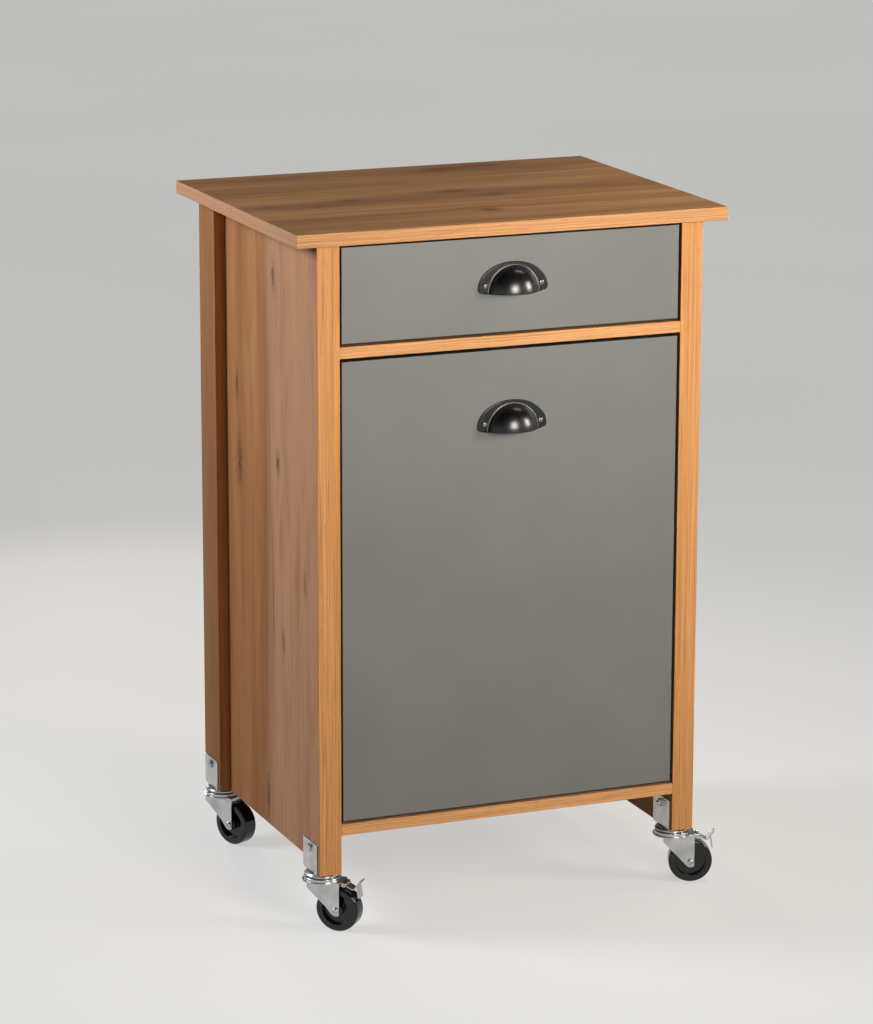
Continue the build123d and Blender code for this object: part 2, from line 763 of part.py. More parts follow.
# Swivelling forks, axles, wheels and brakes, each made along its caster's own heading
for spot_name, (x, y, heading) in caster_spots.items():
    trail = Vector(cos(radians(heading)), sin(radians(heading)), 0)
    across = Vector(-trail.Y, trail.X, 0)
    plan = Plane(origin=(x, y, 0), x_dir=trail, z_dir=(0, 0, 1))
    flank = Plane(origin=(x, y, 0), x_dir=trail, z_dir=-across)
    axle_point = Vector(x, y, wheel_radius) + trail * caster_trail
    braked = spot_name.startswith("front")

    with BuildPart() as fork:
        with BuildSketch(plan.offset(plate_top)):
            flank_spread = sqrt(fork_plate_radius**2 - flank_reach**2) - sheet
            for hand in (-1, 1):
                leg_line = hand * (leg_inner + sheet / 2)
                with BuildLine():
                    Polyline(
                        (fork_reach, leg_line),
                        (leg_crease, leg_line),
                        (-flank_reach, hand * flank_spread),
                    )
                trace(line_width=sheet)
        extrude(amount=-plate_top)
        with BuildSketch(flank):
            with Locations((caster_trail, wheel_radius)):
                Circle(axle_eye_radius)
            with Locations((-flank_reach, plate_top)):
                Rectangle(flank_reach + fork_reach, sheet, align=(Align.MIN, Align.MAX))
            with Locations((-flank_reach, plate_top)):
                Rectangle(sheet, flank_depth, align=(Align.MIN, Align.MAX))
            make_hull()
        extrude(amount=2 * fork_plate_radius, both=True, mode=Mode.INTERSECT)
        with BuildSketch(plan.offset(plate_bottom)) as plate_sketch:
            Circle(fork_plate_radius)
            Rectangle(fork_reach, 2 * leg_outer, align=(Align.MIN, Align.CENTER))
            fillet(plate_sketch.vertices().group_by(Axis.X)[-1], fork_plate_corner)
            Circle(fork_cap_radius - sheet, mode=Mode.SUBTRACT)
        extrude(amount=sheet)
        with BuildSketch(plan.offset(plate_bottom)):
            Circle(fork_cap_radius)
            Circle(fork_cap_radius - sheet, mode=Mode.SUBTRACT)
        extrude(amount=cap_top - plate_bottom)
        with BuildSketch(plan.offset(cap_top - sheet)):
            Circle(fork_cap_radius)
            Circle(kingpin_radius + running_clearance, mode=Mode.SUBTRACT)
        extrude(amount=sheet)
        cap_rim = fork.edges().filter_by(GeomType.CIRCLE).group_by(Axis.Z)[-1].sort_by(SortBy.RADIUS)[-1]
        fillet(cap_rim, edge_radius)
        with BuildSketch(flank):
            with Locations((caster_trail, wheel_radius)):
                Circle(axle_radius + seat_clearance)
        extrude(amount=2 * leg_outer, both=True, mode=Mode.SUBTRACT)
        if braked:
            for hand in (-1, 1):
                ear_face = flank.offset(hand * brake_ear_gap / 2)
                with BuildSketch(ear_face):
                    with Locations((brake_pin_reach, brake_pin_z)):
                        Circle(brake_ear_radius)
                    with Locations((fork_reach - brake_ear_gap, plate_top)):
                        Rectangle(brake_ear_gap, sheet, align=(Align.MIN, Align.MAX))
                    make_hull()
                    with Locations((brake_pin_reach, brake_pin_z)):
                        Circle(brake_pin_radius + running_clearance, mode=Mode.SUBTRACT)
                extrude(amount=hand * sheet)
    save(fork, f"{spot_name}_fork")

    with BuildPart() as axle:
        head_seat = leg_outer + end_clearance
        rod((axle_point - across * head_seat), (axle_point + across * head_seat), axle_radius)
        for outward in (across, -across):
            with Locations(Plane(origin=axle_point + outward * leg_outer, z_dir=outward)):
                Cylinder(axle_head_radius, axle_head_height, align=(Align.CENTER, Align.CENTER, Align.MIN))
        head_rims = axle.edges().filter_by(GeomType.CIRCLE).sort_by(SortBy.RADIUS)[-4:]
        outer_rims = head_rims.sort_by(lambda edge: -abs((edge.arc_center - axle_point).dot(across)))[:2]
        fillet(outer_rims, axle_head_height - 2 * end_clearance)
    save(axle, f"{spot_name}_axle")

    with BuildPart() as wheel:
        with BuildSketch(Plane(origin=axle_point, x_dir=across, z_dir=trail)) as half_section:
            bore = axle_radius + running_clearance
            with Locations((0, wheel_radius)):
                Rectangle(wheel_width, rim_depth, align=(Align.CENTER, Align.MAX))
            fillet(half_section.vertices().group_by(Axis.Y)[-1], wheel_corner)
            with Locations((0, bore)):
                Rectangle(web_width, wheel_radius - rim_depth, align=(Align.CENTER, Align.MIN))
                Rectangle(hub_length, hub_radius - bore, align=(Align.CENTER, Align.MIN))
        revolve(axis=Axis(axle_point, across))
    save(wheel, f"{spot_name}_wheel")

    if braked:
        with BuildPart() as brake:
            heel = (brake_pin_reach + brake_heel_reach, brake_pin_z - brake_heel_drop)
            tip = (brake_pin_reach + brake_tip_reach, brake_pin_z + brake_tip_rise)
            shoe = (brake_pin_reach + brake_shoe_reach, brake_pin_z - brake_shoe_drop)
            shoe_root = ((heel[0] + tip[0]) / 2, (heel[1] + tip[1]) / 2)
            with BuildSketch(flank):
                with BuildLine():
                    FilletPolyline((brake_pin_reach, brake_pin_z), heel, tip, radius=brake_bend)
                trace(line_width=brake_sheet)
                with BuildLine():
                    Line(shoe_root, shoe)
                trace(line_width=brake_sheet)
                with Locations((brake_pin_reach, brake_pin_z)):
                    Circle(brake_barrel_radius)
            extrude(amount=brake_width / 2, both=True)
            with BuildSketch(flank):
                with Locations((brake_pin_reach, brake_pin_z)):
                    Circle(brake_pin_radius)
            extrude(amount=brake_ear_gap / 2 + sheet, both=True)
        save(brake, f"{spot_name}_brake")
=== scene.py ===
import json
from collections import namedtuple
from math import radians

import bpy
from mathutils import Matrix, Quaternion, Vector


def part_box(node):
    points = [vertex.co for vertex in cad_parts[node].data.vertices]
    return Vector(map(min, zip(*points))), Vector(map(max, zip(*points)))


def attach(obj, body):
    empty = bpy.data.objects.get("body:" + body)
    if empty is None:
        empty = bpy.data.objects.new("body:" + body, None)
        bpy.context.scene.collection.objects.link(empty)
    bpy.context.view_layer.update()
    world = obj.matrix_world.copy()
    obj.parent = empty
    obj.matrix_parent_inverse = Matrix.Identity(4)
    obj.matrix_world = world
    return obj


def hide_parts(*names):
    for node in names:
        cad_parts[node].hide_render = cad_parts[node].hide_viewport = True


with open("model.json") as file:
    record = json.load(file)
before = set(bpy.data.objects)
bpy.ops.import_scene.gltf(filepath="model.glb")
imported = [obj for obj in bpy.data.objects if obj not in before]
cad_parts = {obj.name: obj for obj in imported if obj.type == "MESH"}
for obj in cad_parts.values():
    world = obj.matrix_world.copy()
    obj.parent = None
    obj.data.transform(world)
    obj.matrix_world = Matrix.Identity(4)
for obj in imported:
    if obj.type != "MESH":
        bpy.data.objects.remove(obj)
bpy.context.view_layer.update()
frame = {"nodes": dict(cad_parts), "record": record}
nodes = frame["nodes"]
record = frame["record"]
behaviour = record["behaviour"]
node_body = {node: body for body, members in behaviour["bodies"].items() for node in members}

# Axes by their place in a coordinate, and directions
X, Y, Z = 0, 1, 2
LEFT = Vector((-1, 0, 0))
RIGHT = Vector((1, 0, 0))
FRONT = Vector((0, -1, 0))
UP = Vector((0, 0, 1))
QUARTER_TURN = radians(90)

# Casters by the corner that they stand under
CASTER_SPOTS = [f"{end}_{side}" for end in ("front", "rear") for side in ("left", "right")]

# Grey fronts, and the pieces behind them
FRONTS = ["drawer_front", "door_panel"]
DRAWER_BOARDS = [f"drawer_{piece}" for piece in ("left_side", "right_side", "back", "bottom")]
CARRIER_BOARDS = [f"bin_carrier_{piece}" for piece in ("left", "right", "floor", "rail")]
RUNNERS = [f"{side}_{piece}_runner" for side in ("left", "right") for piece in ("cabinet", "drawer")]

# Vertices this close are one, and a point this close to a face is on it, in metres
JOIN_DISTANCE = 0.000001
FACE_DISTANCE = 0.00002

# A face whose normal follows a direction by more than this share is square to it
SQUARE_ON = 0.999

# Angles between faces: up to the flat one they are joined, over the sharp one their edge is rounded,
# and over a crease it is shaded as an edge
FLAT_ANGLE = radians(0.3)
SHARP_ANGLE = radians(35)
CREASE = radians(40)
BIN_CREASE = radians(20)
FORK_CREASE = radians(12)

# Width of the rounding along sharp edges, in metres, and the facets across it
THIN_ROUNDING = 0.0003
METAL_ROUNDING = 0.0004
BOARD_ROUNDING = 0.0006
WHEEL_ROUNDING = 0.0006
BIN_ROUNDING = 0.0009
ROUNDING_STEPS = 2

# Cup pulls: the bead over the rim of the cup, and the bevel of the flange, which stays clear of the cup
# and the screws. Lengths are in metres.
BEAD_RING = 0.0348
BEAD_RADIUS = 0.0008
BEAD_STEPS = 160
BEAD_SIDES = 12
FLANGE_THICKNESS = 0.002
FLANGE_BEVEL = 0.0014
FLANGE_STEPS = 3
CUP_CLEARANCE = BEAD_RING + 4 * BEAD_RADIUS
SCREW_CLEARANCE = 0.0030

# Cross recesses: the turns of the two bars and a bar's width as a share of its arm, then arm and depth,
# as shares of the head's radius in the pulls' screws and in metres in the caster bolts
CROSS_TURNS = (radians(25), radians(115))
CROSS_WIDTH = 0.45
SCREW_CROSS_ARM = 0.55
SCREW_CROSS_DEPTH = 0.35
BOLT_CROSS_ARM = 0.0028
BOLT_CROSS_DEPTH = 0.0012

# Dimples in the axles' rivet heads, in metres, with their flare as a share of the radius
DIMPLE_RADIUS = 0.0017
DIMPLE_DEPTH = 0.0010
DIMPLE_FLARE = 0.3
DIMPLE_SIDES = 32

# Camera, from the photograph's straight edges, with the sensor's longer side in millimetres
PHOTO_HEIGHT = 1024
FOCAL_PIXELS = 4005
SENSOR = 36
CAMERA_PLACE = Vector((-1.9644, -4.7422, 1.7476))
CAMERA_YAW = radians(22.331)
CAMERA_PITCH = radians(13.825)
CAMERA_ROLL = radians(0.132)

# Floor: its side in metres, its tints where it is seen or mirrored and where it only passes light on,
# and its glow where it is seen or mirrored
FLOOR_SIZE = 40
FLOOR_SEEN = ((233, 232, 230), (236, 235, 233))
FLOOR_UNSEEN = ((150, 146, 140), (156, 152, 146))
FLOOR_GLOW = 0.62

# Air: the light that it gives, and its shades where it is seen or mirrored, from the horizon at 0 to
# straight up at 1
AIR_TINT = (232, 236, 242)
AIR_LIGHT = 0.03
AIR_SHADES = (
    (0.00, (208, 208, 207)),
    (0.15, (176, 176, 177)),
    (0.38, (92, 93, 95)),
    (0.65, (44, 45, 47)),
)
MIRRORED_RAYS = ("Camera", "Glossy", "Transmission")

# Lamps: place, target and sides in metres, spread in degrees, power in watts, and tint
WARM = (255, 249, 238)
COOL = (236, 244, 255)
LAMPS = {
    "front_box": {
        "place": (0.20, -2.20, 1.15),
        "target": (0, -0.2, 1.0),
        "sides": (0.65, 0.65),
        "spread": 95,
        "watts": 9.8,
        "tint": WARM,
    },
    "right_box": {
        "place": (2.0, -1.5, 1.25),
        "target": (0.1, -0.1, 0.95),
        "sides": (0.55, 0.7),
        "spread": 95,
        "watts": 10.4,
        "tint": WARM,
    },
    "left_box": {
        "place": (-2.3, 0.95, 1.75),
        "target": (-0.26, -0.10, 0.95),
        "sides": (0.9, 0.9),
        "spread": 90,
        "watts": 20,
        "tint": COOL,
    },
    "back_box": {
        "place": (0, 2.4, 0.64),
        "target": (0, 0.23, 0.6),
        "sides": (0.45, 0.45),
        "spread": 100,
        "watts": 7,
        "tint": WARM,
    },
    "top_box": {
        "place": (0.80, -0.05, 2.2),
        "target": (0.25, -0.05, 0.9),
        "sides": (0.7, 0.7),
        "spread": 80,
        "watts": 2.0,
        "tint": WARM,
    },
}

# Noise is spread round this value, and clouded colours go from one tint to the other over this stretch of it
NOISE_MIDDLE = 0.5
CLOUD_START = 0.3
CLOUD_END = 0.7

# How squarely a surface faces an axis where a board's face starts and is full, and where the dark edge of a
# grey front, painted shade for the gaps round the fronts, starts and is full
FACE_START = 0.6
FACE_FULL = 0.8
GAP_SHADE_START = 0.9
GAP_SHADE_FULL = 0.7

# Layers of noise in the oak: a number that picks it, its scale along and across the grain, its detail and
# its roughness. The first ten are the decor's and the others the edge band's.
Layer = namedtuple("Layer", "pick along across detail roughness", defaults=(2.0, 0.5))
OAK_LAYERS = {
    "drift": Layer(0, 1.1, 3.5),
    "ripple": Layer(1, 6, 20),
    "ragged": Layer(2, 90, 200, 4, 0.6),
    "scribble": Layer(3, 110, 380, 3, 0.6),
    "tone": Layer(4, 0.8, 11, 4),
    "streaks": Layer(5, 4.5, 190, 4, 0.62),
    "fibres": Layer(6, 12, 620, 3, 0.6),
    "pores": Layer(7, 70, 1700),
    "bands": Layer(8, 1.6, 62, 3, 0.55),
    "patches": Layer(9, 5, 26, 3),
    "sway": Layer(30, 9, 30),
    "stripes": Layer(31, 2.5, 420, 3),
    "thread": Layer(32, 3.5, 360, 1),
    "dashes": Layer(33, 60, 900),
}

# Tints over the tones of the oak, in the order that they are laid: the layer of noise, where on it the tint
# starts and is full, the share of it there and its colour. The streaked layers follow a board's streaking.
Tint = namedtuple("Tint", "layer start full share colour")
OAK_TINTS = (
    Tint("patches", 0.48, 0.28, 0.32, (136, 82, 50)),
    Tint("patches", 0.55, 0.75, 0.32, (190, 146, 100)),
    Tint("bands", 0.50, 0.26, 0.42, (112, 72, 42)),
    Tint("bands", 0.54, 0.76, 0.30, (204, 152, 106)),
    Tint("streaks", 0.52, 0.28, 0.36, (110, 70, 40)),
    Tint("streaks", 0.54, 0.76, 0.35, (206, 154, 106)),
    Tint("fibres", 0.54, 0.30, 0.30, (104, 66, 38)),
)
STREAKED_LAYERS = ("bands", "streaks")
GREY_PLANK = (188, 140, 106)
PORE_BROWN = (80, 50, 30)
# The brown that shades mix towards, some of them painted shade
SHADE_BROWN = (90, 57, 36)
HALO_BROWN = (86, 56, 34)
CRACK_BLACK = (42, 30, 22)
END_GRAIN = (150, 112, 92)

# How far noise moves the grain, the outlines of marks and the lines of an edge band, in metres
DRIFT_SWAY = 0.045
RIPPLE_SWAY = 0.005
RAGGED_ALONG = 0.008
RAGGED_ACROSS = 0.006
BAND_SWAY = 0.004

# Where on the noise the dark, middle and light tones of the oak are
TONE_STOPS = (0.25, 0.50, 0.75)

# Where a grey plank starts and is full, in metres from the edge between planks, and the share of it there
PLANK_START = 0.012
PLANK_FULL = -0.008
PLANK_SHARE = 0.75

# Where on their noise pores start and are full, and the share of their colour there
PORE_START = 0.60
PORE_FULL = 0.74
PORE_SHARE = 0.30

# How far from the middle of their noise the scratches in a mark start and are full
SCRATCH_START = 0.070
SCRATCH_FULL = 0.020

# How the parts of a mark fade with the squared distance from it: the grain that bends round it, its halo,
# its core and the scratches in it. Shades fade in the same way.
BEND_FADE = -0.07
HALO_FADE = -0.45
CORE_FADE = -6.0
SCRATCH_FADE = -0.60
SHADE_FADE = -0.9

# Strength of the parts of a mark and of shades, and the most that a crack may darken
BEND = 0.65
HALO = 0.34
CORE = 0.4
SHADE = 1.5
CRACK_LIMIT = 0.9

# Lines in an edge band, in the order that they are laid: where on the noise they run, how far from there they
# start and are full, the share of them there, and their lightness beside the band's colour
Line = namedtuple("Line", "middle start full share lightness")
BAND_LINES = (
    Line(0.58, 0.030, 0.006, 0.45, 1.35),
    Line(0.46, 0.040, 0.008, 0.50, 0.55),
)

# Stripes of an edge band: places on the noise and the lightness there
BAND_STRIPES = ((0.30, 0.80), (0.50, 1.00), (0.70, 1.18))

# Where on their noise the dashes in an edge band start and are full, the share of them there, and their
# lightness beside the band's colour
DASH_START = 0.58
DASH_FULL = 0.72
DASH_SHARE = 0.45
DASH_LIGHTNESS = 0.48

# How much end grain shows on the ends of a board
END_SHARE = 0.5

# Relief of the decor, and of the stripes and dashes of an edge band
DECOR_RELIEF = 0.5
STRIPE_RELIEF = 0.3
DASH_RELIEF = 0.6

# A mark or shade of the oak: its place along and across the grain, half length and half width, in metres,
# and its depth
Mark = namedtuple("Mark", "along across half_length half_width depth")

# Oak boards: the axes of the grain and the thickness, a number that picks the figure, the colour of the edge
# band, the edge between a warm and a grey plank in metres, the dark, middle and light tones, how strong the
# streaks are, and the marks and shades of the decor, of which the shades marked below are painted shade
OAK_BOARDS = {
    "oak_top": {
        "names": ("top_panel",),
        "grain": X,
        "thickness": Z,
        "figure": 3.0,
        "band": (212, 155, 106),
        "plank_edge": -0.30,
        "tones": ((130, 90, 52), (159, 114, 71), (182, 138, 94)),
        "streaking": 1.0,
        "marks": (
            Mark(-0.258, -0.020, 0.016, 0.0060, 0.55),
            Mark(-0.190, -0.031, 0.016, 0.0050, 0.45),
            Mark(-0.141, -0.004, 0.016, 0.0070, 0.60),
            Mark(0.069, 0.190, 0.030, 0.0110, 0.60),
            Mark(0.128, 0.205, 0.028, 0.0100, 0.50),
            Mark(0.012, 0.021, 0.022, 0.0090, 0.70),
            Mark(0.053, -0.021, 0.020, 0.0080, 0.50),
            Mark(0.002, -0.131, 0.013, 0.0100, 0.95),
        ),
        "shades": (
            Mark(-0.150, -0.020, 0.200, 0.022, 0.60),
            Mark(0.080, 0.010, 0.200, 0.020, 0.55),
            Mark(-0.120, 0.110, 0.260, 0.030, 0.55),
            Mark(0.130, 0.190, 0.180, 0.026, 0.60),
            Mark(-0.200, 0.200, 0.160, 0.028, 0.55),
            Mark(-0.200, -0.150, 0.160, 0.022, 0.40),
        ),
    },
    "oak_left_side": {
        "names": ("left_side_panel",),
        "grain": Z,
        "thickness": X,
        "figure": 11.0,
        "band": (215, 152, 94),
        "plank_edge": 0.012,
        "tones": ((128, 80, 42), (158, 104, 60), (182, 127, 83)),
        "streaking": 0.5,
        "marks": (
            Mark(0.546, 0.1195, 0.022, 0.0060, 1.00),
            Mark(0.650, 0.1280, 0.016, 0.0040, 0.85),
            Mark(0.578, -0.0270, 0.012, 0.0050, 0.80),
            Mark(0.820, -0.0136, 0.018, 0.0050, 0.75),
            Mark(0.343, -0.0436, 0.010, 0.0050, 0.75),
            Mark(0.380, -0.0065, 0.055, 0.0022, 0.60),
            Mark(0.1135, 0.0173, 0.030, 0.0040, 0.80),
            Mark(0.1335, -0.1390, 0.040, 0.0045, 0.70),
        ),
        "shades": (
            Mark(0.480, 0.006, 0.420, 0.010, 0.42),
            # Painted shade: the side darkens along its rear edge, in the corner by the rear post
            Mark(0.500, 0.168, 0.380, 0.010, 0.30),
            Mark(0.300, -0.100, 0.220, 0.012, 0.22),
        ),
    },
    "oak_right_side": {
        "names": ("right_side_panel",),
        "grain": Z,
        "thickness": X,
        "figure": 23.0,
        "band": (215, 152, 94),
        "plank_edge": -0.045,
        "tones": ((128, 80, 42), (158, 104, 60), (182, 127, 83)),
        "streaking": 0.5,
        "marks": (
            Mark(0.700, -0.0700, 0.018, 0.0060, 0.90),
            Mark(0.420, 0.0600, 0.014, 0.0050, 0.85),
            Mark(0.250, -0.0100, 0.045, 0.0025, 0.65),
            Mark(0.600, 0.1300, 0.030, 0.0040, 0.70),
        ),
        "shades": (
            Mark(0.520, -0.050, 0.400, 0.010, 0.40),
            Mark(0.400, 0.090, 0.300, 0.014, 0.28),
        ),
    },
    "oak_shelf": {
        "names": ("divider_shelf", "bottom_shelf"),
        "grain": X,
        "thickness": Z,
        "figure": 37.0,
        "band": (226, 166, 112),
        "plank_edge": 0.060,
        "tones": ((132, 86, 44), (161, 110, 62), (184, 134, 84)),
        "streaking": 0.8,
        "marks": (Mark(0.080, 0.050, 0.020, 0.0060, 0.80),),
        "shades": (Mark(-0.050, -0.060, 0.180, 0.020, 0.35),),
    },
    "oak_post": {
        "names": ("front_left_post", "front_right_post", "rear_left_post", "rear_right_post"),
        "grain": Z,
        "thickness": X,
        "figure": 51.0,
        "band": (217, 155, 100),
        "plank_edge": -0.100,
        "tones": ((130, 82, 43), (160, 106, 61), (184, 130, 84)),
        "streaking": 0.5,
        "marks": (Mark(0.450, -0.165, 0.014, 0.0040, 0.60),),
        "shades": (
            Mark(0.600, 0.190, 0.200, 0.010, 0.20),
            # Painted shade: the rear posts darken towards their foot, where shade falls on them
            Mark(0.280, 0.200, 0.400, 0.100, 0.46),
        ),
    },
}

# Moulded plastics: the nodes, the dark and light tints, the roughness, and the pebbles of the skin
PLASTICS = {
    "wheel_plastic": {
        "names": [f"{spot}_wheel" for spot in CASTER_SPOTS],
        "tints": ((8, 8, 9), (14, 14, 15)),
        "roughness": 0.08,
        "pebble_scale": 300.0,
        "pebble_strength": 0.03,
    },
    "nylon": {
        "names": ("runner_front_rollers", "runner_rear_rollers"),
        "tints": ((214, 212, 204), (228, 226, 219)),
        "roughness": 0.36,
        "pebble_scale": 400.0,
        "pebble_strength": 0.08,
    },
    "bush_plastic": {
        "names": ("pivot_bushes",),
        "tints": ((26, 26, 27), (36, 36, 37)),
        "roughness": 0.4,
        "pebble_scale": 400.0,
        "pebble_strength": 0.1,
    },
    "bin_plastic": {
        "names": ("waste_bin",),
        "tints": ((48, 50, 52), (58, 60, 62)),
        "roughness": 0.42,
        "pebble_scale": 500.0,
        "pebble_strength": 0.2,
    },
    "catch_plastic": {
        "names": ("magnetic_catch",),
        "tints": ((66, 46, 32), (80, 57, 40)),
        "roughness": 0.4,
        "pebble_scale": 400.0,
        "pebble_strength": 0.1,
    },
}


def srgb(red, green, blue):
    """A colour in 0-255 steps, as linear light."""
    def linear(step):
        part = step / 255
        return part / 12.92 if part <= 0.04045 else ((part + 0.055) / 1.055) ** 2.4
    return (linear(red), linear(green), linear(blue), 1.0)


def scaled(colour, factor):
    """A colour made lighter or darker."""
    return tuple(part * factor for part in colour[:3]) + (1.0,)


class Value:
    """A number that varies over a surface. Arithmetic on it adds Math nodes."""

    def __init__(self, finish, socket):
        self.finish = finish
        self.socket = socket

    def math(self, operation, *others):
        sockets = dict(enumerate((self, *others)))
        return self.finish.node("ShaderNodeMath", {"operation": operation}, sockets)

    def fade(self, rate):
        """1 where the value is 0, and less the larger it is."""
        return (self * rate).math("EXPONENT")

    def __add__(self, other):
        return self.math("ADD", other)

    __radd__ = __add__

    def __mul__(self, other):
        return self.math("MULTIPLY", other)

    def __sub__(self, other):
        return self.math("SUBTRACT", other)

    def __rsub__(self, other):
        return self * -1 + other

    def __truediv__(self, other):
        return self.math("DIVIDE", other)

    def __abs__(self):
        return self.math("ABSOLUTE")


class Nodes:
    """A node tree that takes values, links and expressions."""

    def __init__(self, tree):
        self.tree = tree

    def node(self, kind, settings=None, inputs=None, output=0):
        """Add a node: its settings first, then the values or links of its sockets."""
        made = self.tree.nodes.new(kind)
        for key, value in (settings or {}).items():
            if key == "stops":
                self.fill_ramp(made.color_ramp, value)
            else:
                setattr(made, key, value)
        for key, value in (inputs or {}).items():
            self.feed(made.inputs[key], value)
        return Value(self, made.outputs[output])

    def feed(self, socket, value):
        if isinstance(value, Value):
            self.tree.links.new(value.socket, socket)
        else:
            socket.default_value = value

    def fill_ramp(self, ramp, stops):
        while len(ramp.elements) < len(stops):
            ramp.elements.new(1.0)
        for element, (position, colour) in zip(ramp.elements, stops):
            element.position = position
            element.color = colour

    def vector(self, x, y, z):
        return self.node("ShaderNodeCombineXYZ", inputs={0: x, 1: y, 2: z})

    def axes(self, vector):
        """The X, Y and Z parts of a vector."""
        first = self.node("ShaderNodeSeparateXYZ", inputs={0: vector})
        return [Value(self, socket) for socket in first.socket.node.outputs]

    def noise(self, vector, scale=1.0, detail=2.0, roughness=0.5):
        sockets = {"Vector": vector, "Scale": scale, "Detail": detail, "Roughness": roughness}
        return self.node("ShaderNodeTexNoise", inputs=sockets)

    def smooth(self, value, low, high):
        """0 at low, 1 at high and a soft step between them, either way round."""
        sockets = {"Value": value, "From Min": low, "From Max": high}
        return self.node("ShaderNodeMapRange", {"interpolation_type": "SMOOTHSTEP"}, sockets)

    def ramp(self, value, *stops):
        return self.node("ShaderNodeValToRGB", {"stops": stops}, {0: value})

    def clouded(self, noise, dark, light, start=CLOUD_START, end=CLOUD_END):
        """A colour that goes from dark to light as noise goes from start to end."""
        return self.ramp(noise, (start, dark), (end, light))

    def mix(self, share, first, second):
        """A colour between two others."""
        return self.node("ShaderNodeMix", {"data_type": "RGBA"}, {0: share, 6: first, 7: second}, 2)

    def mix_shaders(self, share, first, second):
        return self.node("ShaderNodeMixShader", inputs={0: share, 1: first, 2: second})

    def bump(self, height, strength, distance):
        sockets = {"Height": height, "Strength": strength, "Distance": distance}
        return self.node("ShaderNodeBump", inputs=sockets)

    def seen_directly(self):
        """1 for the camera and for what metal and gloss mirror, and 0 for the light that falls on things."""
        rays = [self.node("ShaderNodeLightPath", output=f"Is {kind} Ray") for kind in MIRRORED_RAYS]
        return rays[0].math("MAXIMUM", rays[1]).math("MAXIMUM", rays[2])


class Finish(Nodes):
    """A procedural material on a piece's Object coordinates."""

    def __init__(self, name):
        self.material = bpy.data.materials.new(name)
        self.material.use_nodes = True
        super().__init__(self.material.node_tree)
        self.shader = self.tree.nodes["Principled BSDF"]
        self.place = self.node("ShaderNodeTexCoord", output="Object")

    def facing(self):
        """How far a surface faces along X, Y and Z, from 0 to 1 either way."""
        normal = self.node("ShaderNodeTexCoord", output="Normal")
        return [abs(part) for part in self.axes(normal)]

    def surface(self, **sockets):
        """Set or link the shader's sockets, with underscores for the spaces in their names."""
        for key, value in sockets.items():
            self.feed(self.shader.inputs[key.replace("_", " ")], value)
        return self.material


def dress(material, *names):
    """Give CAD nodes a material."""
    for name in names:
        nodes[name].data.materials.clear()
        nodes[name].data.materials.append(material)


# Oak laminate
def oak_noise(finish, name, along, across, figure):
    """A layer of noise on a board of this figure."""
    layer = OAK_LAYERS[name]
    place = finish.vector(along * layer.along, across * layer.across, figure + layer.pick)
    return finish.noise(place, detail=layer.detail, roughness=layer.roughness)


def distance_from(mark, along, across, ragged):
    """Squared distance from a mark, 1 on its rim, with a ragged outline."""
    away_along = (along - mark.along + ragged * RAGGED_ALONG) / mark.half_length
    away_across = (across - mark.across + ragged * RAGGED_ACROSS) / mark.half_width
    return away_along * away_along + away_across * away_across


def oak_decor(finish, along, across, board):
    """Rustic oak face: planks, streaks, fibres, pores, knots and cracks. Gives its colour and height."""
    figure = board["figure"]
    drift = oak_noise(finish, "drift", along, across, figure) - NOISE_MIDDLE
    ripple = oak_noise(finish, "ripple", along, across, figure) - NOISE_MIDDLE
    ragged = oak_noise(finish, "ragged", along, across, figure) - NOISE_MIDDLE
    scribble = oak_noise(finish, "scribble", along, across, figure) - NOISE_MIDDLE
    scratches = finish.smooth(abs(scribble), SCRATCH_START, SCRATCH_FULL)
    flow = across + drift * DRIFT_SWAY + ripple * RIPPLE_SWAY
    halo = 0
    crack = 0
    for mark in board["marks"]:
        far = distance_from(mark, along, across, ragged)
        flow = flow - (across - mark.across) * far.fade(BEND_FADE) * BEND
        halo = halo + far.fade(HALO_FADE) * (HALO * mark.depth)
        crack = crack + far.fade(CORE_FADE) * (CORE * mark.depth)
        crack = crack + scratches * far.fade(SCRATCH_FADE) * mark.depth
    shade = 0
    for mark in board["shades"]:
        shade = shade + distance_from(mark, along, flow, ripple).fade(SHADE_FADE) * mark.depth
    layers = {
        name: oak_noise(finish, name, along, flow, figure)
        for name in ("tone", "patches", "bands", "streaks", "fibres", "pores")
    }
    edge = board["plank_edge"]
    grey = finish.smooth(flow, edge + PLANK_START, edge + PLANK_FULL) * PLANK_SHARE
    colour = finish.ramp(layers["tone"], *zip(TONE_STOPS, (srgb(*tone) for tone in board["tones"])))
    colour = finish.mix(grey, colour, srgb(*GREY_PLANK))
    for tint in OAK_TINTS:
        share = tint.share * (board["streaking"] if tint.layer in STREAKED_LAYERS else 1)
        laid = finish.smooth(layers[tint.layer], tint.start, tint.full)
        colour = finish.mix(laid * share, colour, srgb(*tint.colour))
    pores = finish.smooth(layers["pores"], PORE_START, PORE_FULL)
    colour = finish.mix(pores * PORE_SHARE, colour, srgb(*PORE_BROWN))
    # Shades darken the decor towards a brown; where marked in OAK_BOARDS they are painted shade
    streaked_shade = shade.math("MINIMUM", 1.0) * layers["streaks"] * SHADE
    colour = finish.mix(streaked_shade, colour, srgb(*SHADE_BROWN))
    colour = finish.mix(halo.math("MINIMUM", 1.0), colour, srgb(*HALO_BROWN))
    colour = finish.mix(crack.math("MINIMUM", CRACK_LIMIT), colour, srgb(*CRACK_BLACK))
    return colour, (layers["fibres"] - pores - crack) * DECOR_RELIEF


